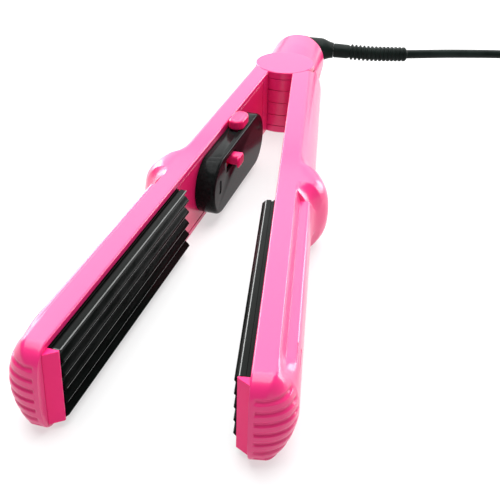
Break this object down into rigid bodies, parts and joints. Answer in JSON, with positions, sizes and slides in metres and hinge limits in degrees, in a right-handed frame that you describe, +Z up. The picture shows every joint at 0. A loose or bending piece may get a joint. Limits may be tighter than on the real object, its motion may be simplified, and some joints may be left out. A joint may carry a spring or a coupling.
{
  "type": "hair crimper",
  "caption": "Hand-held hair crimper: two sprung arms with ridged heated plates on a round hinge, a slide switch, a plate lock and a swivelling mains cord.",
  "frame": {"origin": "on the hinge axis, in the plane that the crimper lies on: the middle of the lower hinge cap's flat face", "axes": "+Z up along the hinge axis, -Y towards the tips of the arms along the line midway between them, +X towards the right arm and the side on which the cord lies"},
  "size_m": [0.2608, 0.4035, 0.034],
  "materials": {
    "black_housing": "piano black",
    "black_inner": "moulded nylon",
    "ceramic": "unglazed alumina",
    "circuit_board": "green solder mask",
    "cord_rubber": "black PVC jacket, slightly shiny",
    "end_ring": "black gloss",
    "fuse": "plain metal can",
    "guard_rubber": "black, slightly shiny",
    "lamp": "diffused",
    "lead_sleeve": "fibreglass sleeve",
    "pink_control": "glossy pink moulding",
    "pink_cover": "glossy deep pink moulding",
    "pink_frame": "heat-resistant deep pink moulding",
    "pink_shell": "smooth high-gloss hot pink moulding",
    "pins": "nickel-free bright brass",
    "plate_coating": "aluminium with a smooth black ceramic coating",
    "plug": "black moulded PVC",
    "red_lens": "clear red",
    "silicone": "matt silicone",
    "spring_steel": "bright wire",
    "steel": "zinc-plated",
    "tie": "black coated wire tie"
  },
  "bodies": {
    "tail": {"clamp_bar": "steel", "cord_clamp": "black_inner", "hinge_bolt": "steel", "hinge_cap_bottom": "pink_shell", "hinge_cap_top": "pink_shell", "hinge_nut": "steel", "inner_cord": "cord_rubber", "opening_spring": "spring_steel", "swivel_neck": "guard_rubber", "tail_end_ring": "end_ring", "tail_lower_shell": "pink_shell", "tail_upper_shell": "pink_shell"},
    "left_arm": {"control_housing": "black_housing", "housing_screw_1": "steel", "housing_screw_2": "steel", "indicator_board": "circuit_board", "indicator_lamp": "lamp", "indicator_lens": "red_lens", "left_cover_screw_1": "steel", "left_crimp_plate": "plate_coating", "left_frame_screw": "steel", "left_heater": "ceramic", "left_heater_clamp": "steel", "left_heater_leads": "lead_sleeve", "left_inner_cover": "pink_cover", "left_outer_shell": "pink_shell", "left_plate_frame": "pink_frame", "left_plate_pad_1": "silicone", "left_plate_pad_2": "silicone", "power_switch": "black_inner", "switch_leads": "lead_sleeve", "thermal_fuse": "fuse"},
    "right_arm": {"lock_catch": "steel", "plate_sensor": "ceramic", "right_cover_screw_1": "steel", "right_cover_screw_2": "steel", "right_crimp_plate": "plate_coating", "right_frame_screw": "steel", "right_heater": "ceramic", "right_heater_clamp": "steel", "right_heater_leads": "lead_sleeve", "right_inner_cover": "pink_cover", "right_outer_shell": "pink_shell", "right_plate_frame": "pink_frame", "right_plate_pad_1": "silicone", "right_plate_pad_2": "silicone"},
    "power_knob": {"power_knob": "pink_control"},
    "lock_slider": {"lock_slider": "pink_control"},
    "cord_swivel": {"cord": "cord_rubber", "cord_coil": "cord_rubber", "cord_tail": "cord_rubber", "cord_tie": "tie", "plug_body": "plug", "plug_pin_1": "pins", "plug_pin_2": "pins", "strain_relief": "guard_rubber", "swivel_ball": "guard_rubber"}
  },
  "joints": [
    {"name": "left_hinge", "type": "hinge", "parent": "tail", "child": "left_arm", "pos_m": [0, 0, 0.0164], "axis": [0, 0, 1], "range_deg": [0, 6.17], "stiffness_Nm_per_rad": 0.8, "springref_deg": -17.19},
    {"name": "right_hinge", "type": "hinge", "parent": "tail", "child": "right_arm", "pos_m": [0, 0, 0.0164], "axis": [0, 0, -1], "range_deg": [0, 6.17]},
    {"name": "power_slide", "type": "slide", "parent": "left_arm", "child": "power_knob", "axis": [-0.1075, -0.9942, 0], "range_m": [0, 0.004]},
    {"name": "lock_slide", "type": "slide", "parent": "left_arm", "child": "lock_slider", "axis": [-0.1075, -0.9942, 0], "range_m": [0, 0.0045]},
    {"name": "cord_swivel", "type": "hinge", "parent": "tail", "child": "cord_swivel", "pos_m": [0, 0.0693, 0.0164], "axis": [0, 0, 1], "range_deg": [0, 180]}
  ],
  "couplings": [
    {"joint": "right_hinge", "follows": "left_hinge", "ratio": 1}
  ]
}
